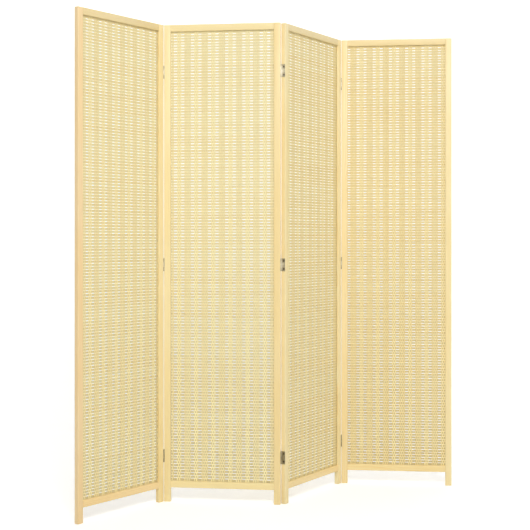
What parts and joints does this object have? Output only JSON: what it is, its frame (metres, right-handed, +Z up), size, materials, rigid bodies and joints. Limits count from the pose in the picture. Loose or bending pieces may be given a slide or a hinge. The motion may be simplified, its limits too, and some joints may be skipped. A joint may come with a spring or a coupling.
{
  "type": "folding partition screen",
  "caption": "Folding partition screen: pine-framed panels filled with open woven bamboo mats, joined by butt hinges to fold in a zigzag and stand on the feet of their uprights.",
  "frame": {"origin": "on the floor, under the middle of the box that the standing screen fills in the pictured zigzag", "axes": "+Z up, +X along the row from the first panel to the last, -Y towards the side that the picture shows"},
  "size_m": [1.5516, 0.2598, 1.8],
  "materials": {
    "pine": "planed pine, clear satin varnish",
    "bamboo_slat": "split bamboo, natural, fine lengthwise fibre",
    "bamboo_warp": "narrow bamboo strips, natural",
    "hinge_leaf_nickel": "nickel-plated pressed steel",
    "hinge_pin_steel": "nickel-plated steel wire"
  },
  "bodies": {
    "panel_1": {"panel_1_stile_left": "pine", "panel_1_stile_right": "pine", "panel_1_rail_top": "pine", "panel_1_rail_bottom": "pine", "panel_1_slats": "bamboo_slat", "panel_1_warps_wide": "bamboo_warp", "panel_1_warps_narrow": "bamboo_warp", "hinge_1_leaves_left": "hinge_leaf_nickel", "hinge_1_pin_bottom": "hinge_pin_steel", "hinge_1_pin_middle": "hinge_pin_steel", "hinge_1_pin_top": "hinge_pin_steel"},
    "panel_2": {"panel_2_stile_left": "pine", "panel_2_stile_right": "pine", "panel_2_rail_top": "pine", "panel_2_rail_bottom": "pine", "panel_2_slats": "bamboo_slat", "panel_2_warps_wide": "bamboo_warp", "panel_2_warps_narrow": "bamboo_warp", "hinge_1_leaves_right": "hinge_leaf_nickel", "hinge_2_leaves_left": "hinge_leaf_nickel", "hinge_2_pin_bottom": "hinge_pin_steel", "hinge_2_pin_middle": "hinge_pin_steel", "hinge_2_pin_top": "hinge_pin_steel"},
    "panel_3": {"panel_3_stile_left": "pine", "panel_3_stile_right": "pine", "panel_3_rail_top": "pine", "panel_3_rail_bottom": "pine", "panel_3_slats": "bamboo_slat", "panel_3_warps_wide": "bamboo_warp", "panel_3_warps_narrow": "bamboo_warp", "hinge_2_leaves_right": "hinge_leaf_nickel", "hinge_3_leaves_left": "hinge_leaf_nickel", "hinge_3_pin_bottom": "hinge_pin_steel", "hinge_3_pin_middle": "hinge_pin_steel", "hinge_3_pin_top": "hinge_pin_steel"},
    "panel_4": {"panel_4_stile_left": "pine", "panel_4_stile_right": "pine", "panel_4_rail_top": "pine", "panel_4_rail_bottom": "pine", "panel_4_slats": "bamboo_slat", "panel_4_warps_wide": "bamboo_warp", "panel_4_warps_narrow": "bamboo_warp", "hinge_3_leaves_right": "hinge_leaf_nickel"}
  },
  "joints": [
    {"name": "fold_1", "type": "hinge", "parent": "panel_2", "child": "panel_1", "pos_m": [-0.37891, 0.10179, 0.9], "axis": [0, 0, 1], "range_deg": [-60.3, 119.7]},
    {"name": "fold_2", "type": "hinge", "parent": "panel_2", "child": "panel_3", "pos_m": [0.00802, -0.11532, 0.9], "axis": [0, 0, 1], "range_deg": [-65.4, 114.6]},
    {"name": "fold_3", "type": "hinge", "parent": "panel_3", "child": "panel_4", "pos_m": [0.38715, 0.11517, 0.9], "axis": [0, 0, -1], "range_deg": [-64.6, 115.4]}
  ]
}
